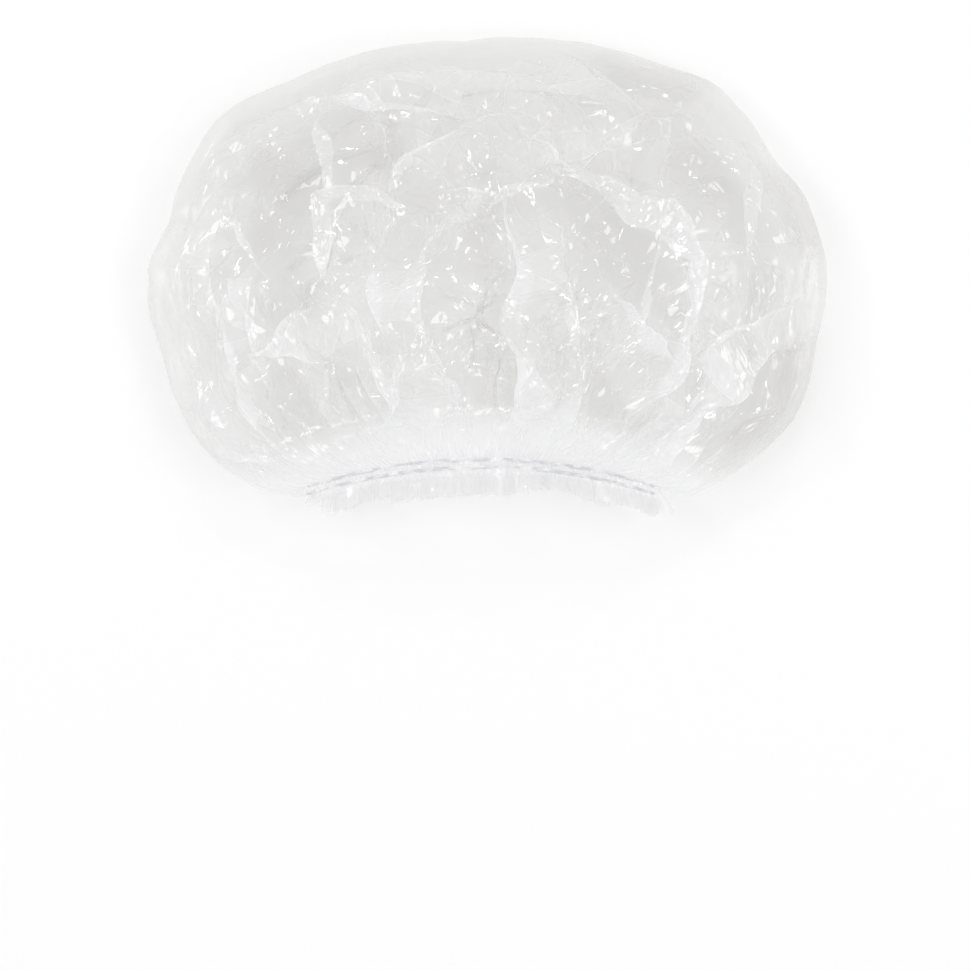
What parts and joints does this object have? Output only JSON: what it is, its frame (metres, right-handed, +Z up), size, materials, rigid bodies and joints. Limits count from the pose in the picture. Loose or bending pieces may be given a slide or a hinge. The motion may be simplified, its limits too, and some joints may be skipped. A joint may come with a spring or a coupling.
{
  "type": "disposable shower cap",
  "caption": "Clear film shower cap lying on its back: a loose crumpled pouch gathered by elastic threads round an open mouth, with a frilled film margin.",
  "frame": {"origin": "on the surface that the cap lies on, below the middle of its outline", "axes": "+X across the cap from lobe to lobe, +Y towards the crown with the mouth facing -Y, +Z up from the surface that it lies on"},
  "size_m": [0.2478, 0.1755, 0.0593],
  "materials": {
    "clear_film": "thin clear film, crumpled, with sharp glints along its creases",
    "elastic": "thin pale elastic thread"
  },
  "bodies": {
    "root": {"cap_film": "clear_film", "upper_elastic_thread": "elastic", "lower_elastic_thread": "elastic"}
  },
  "joints": []
}
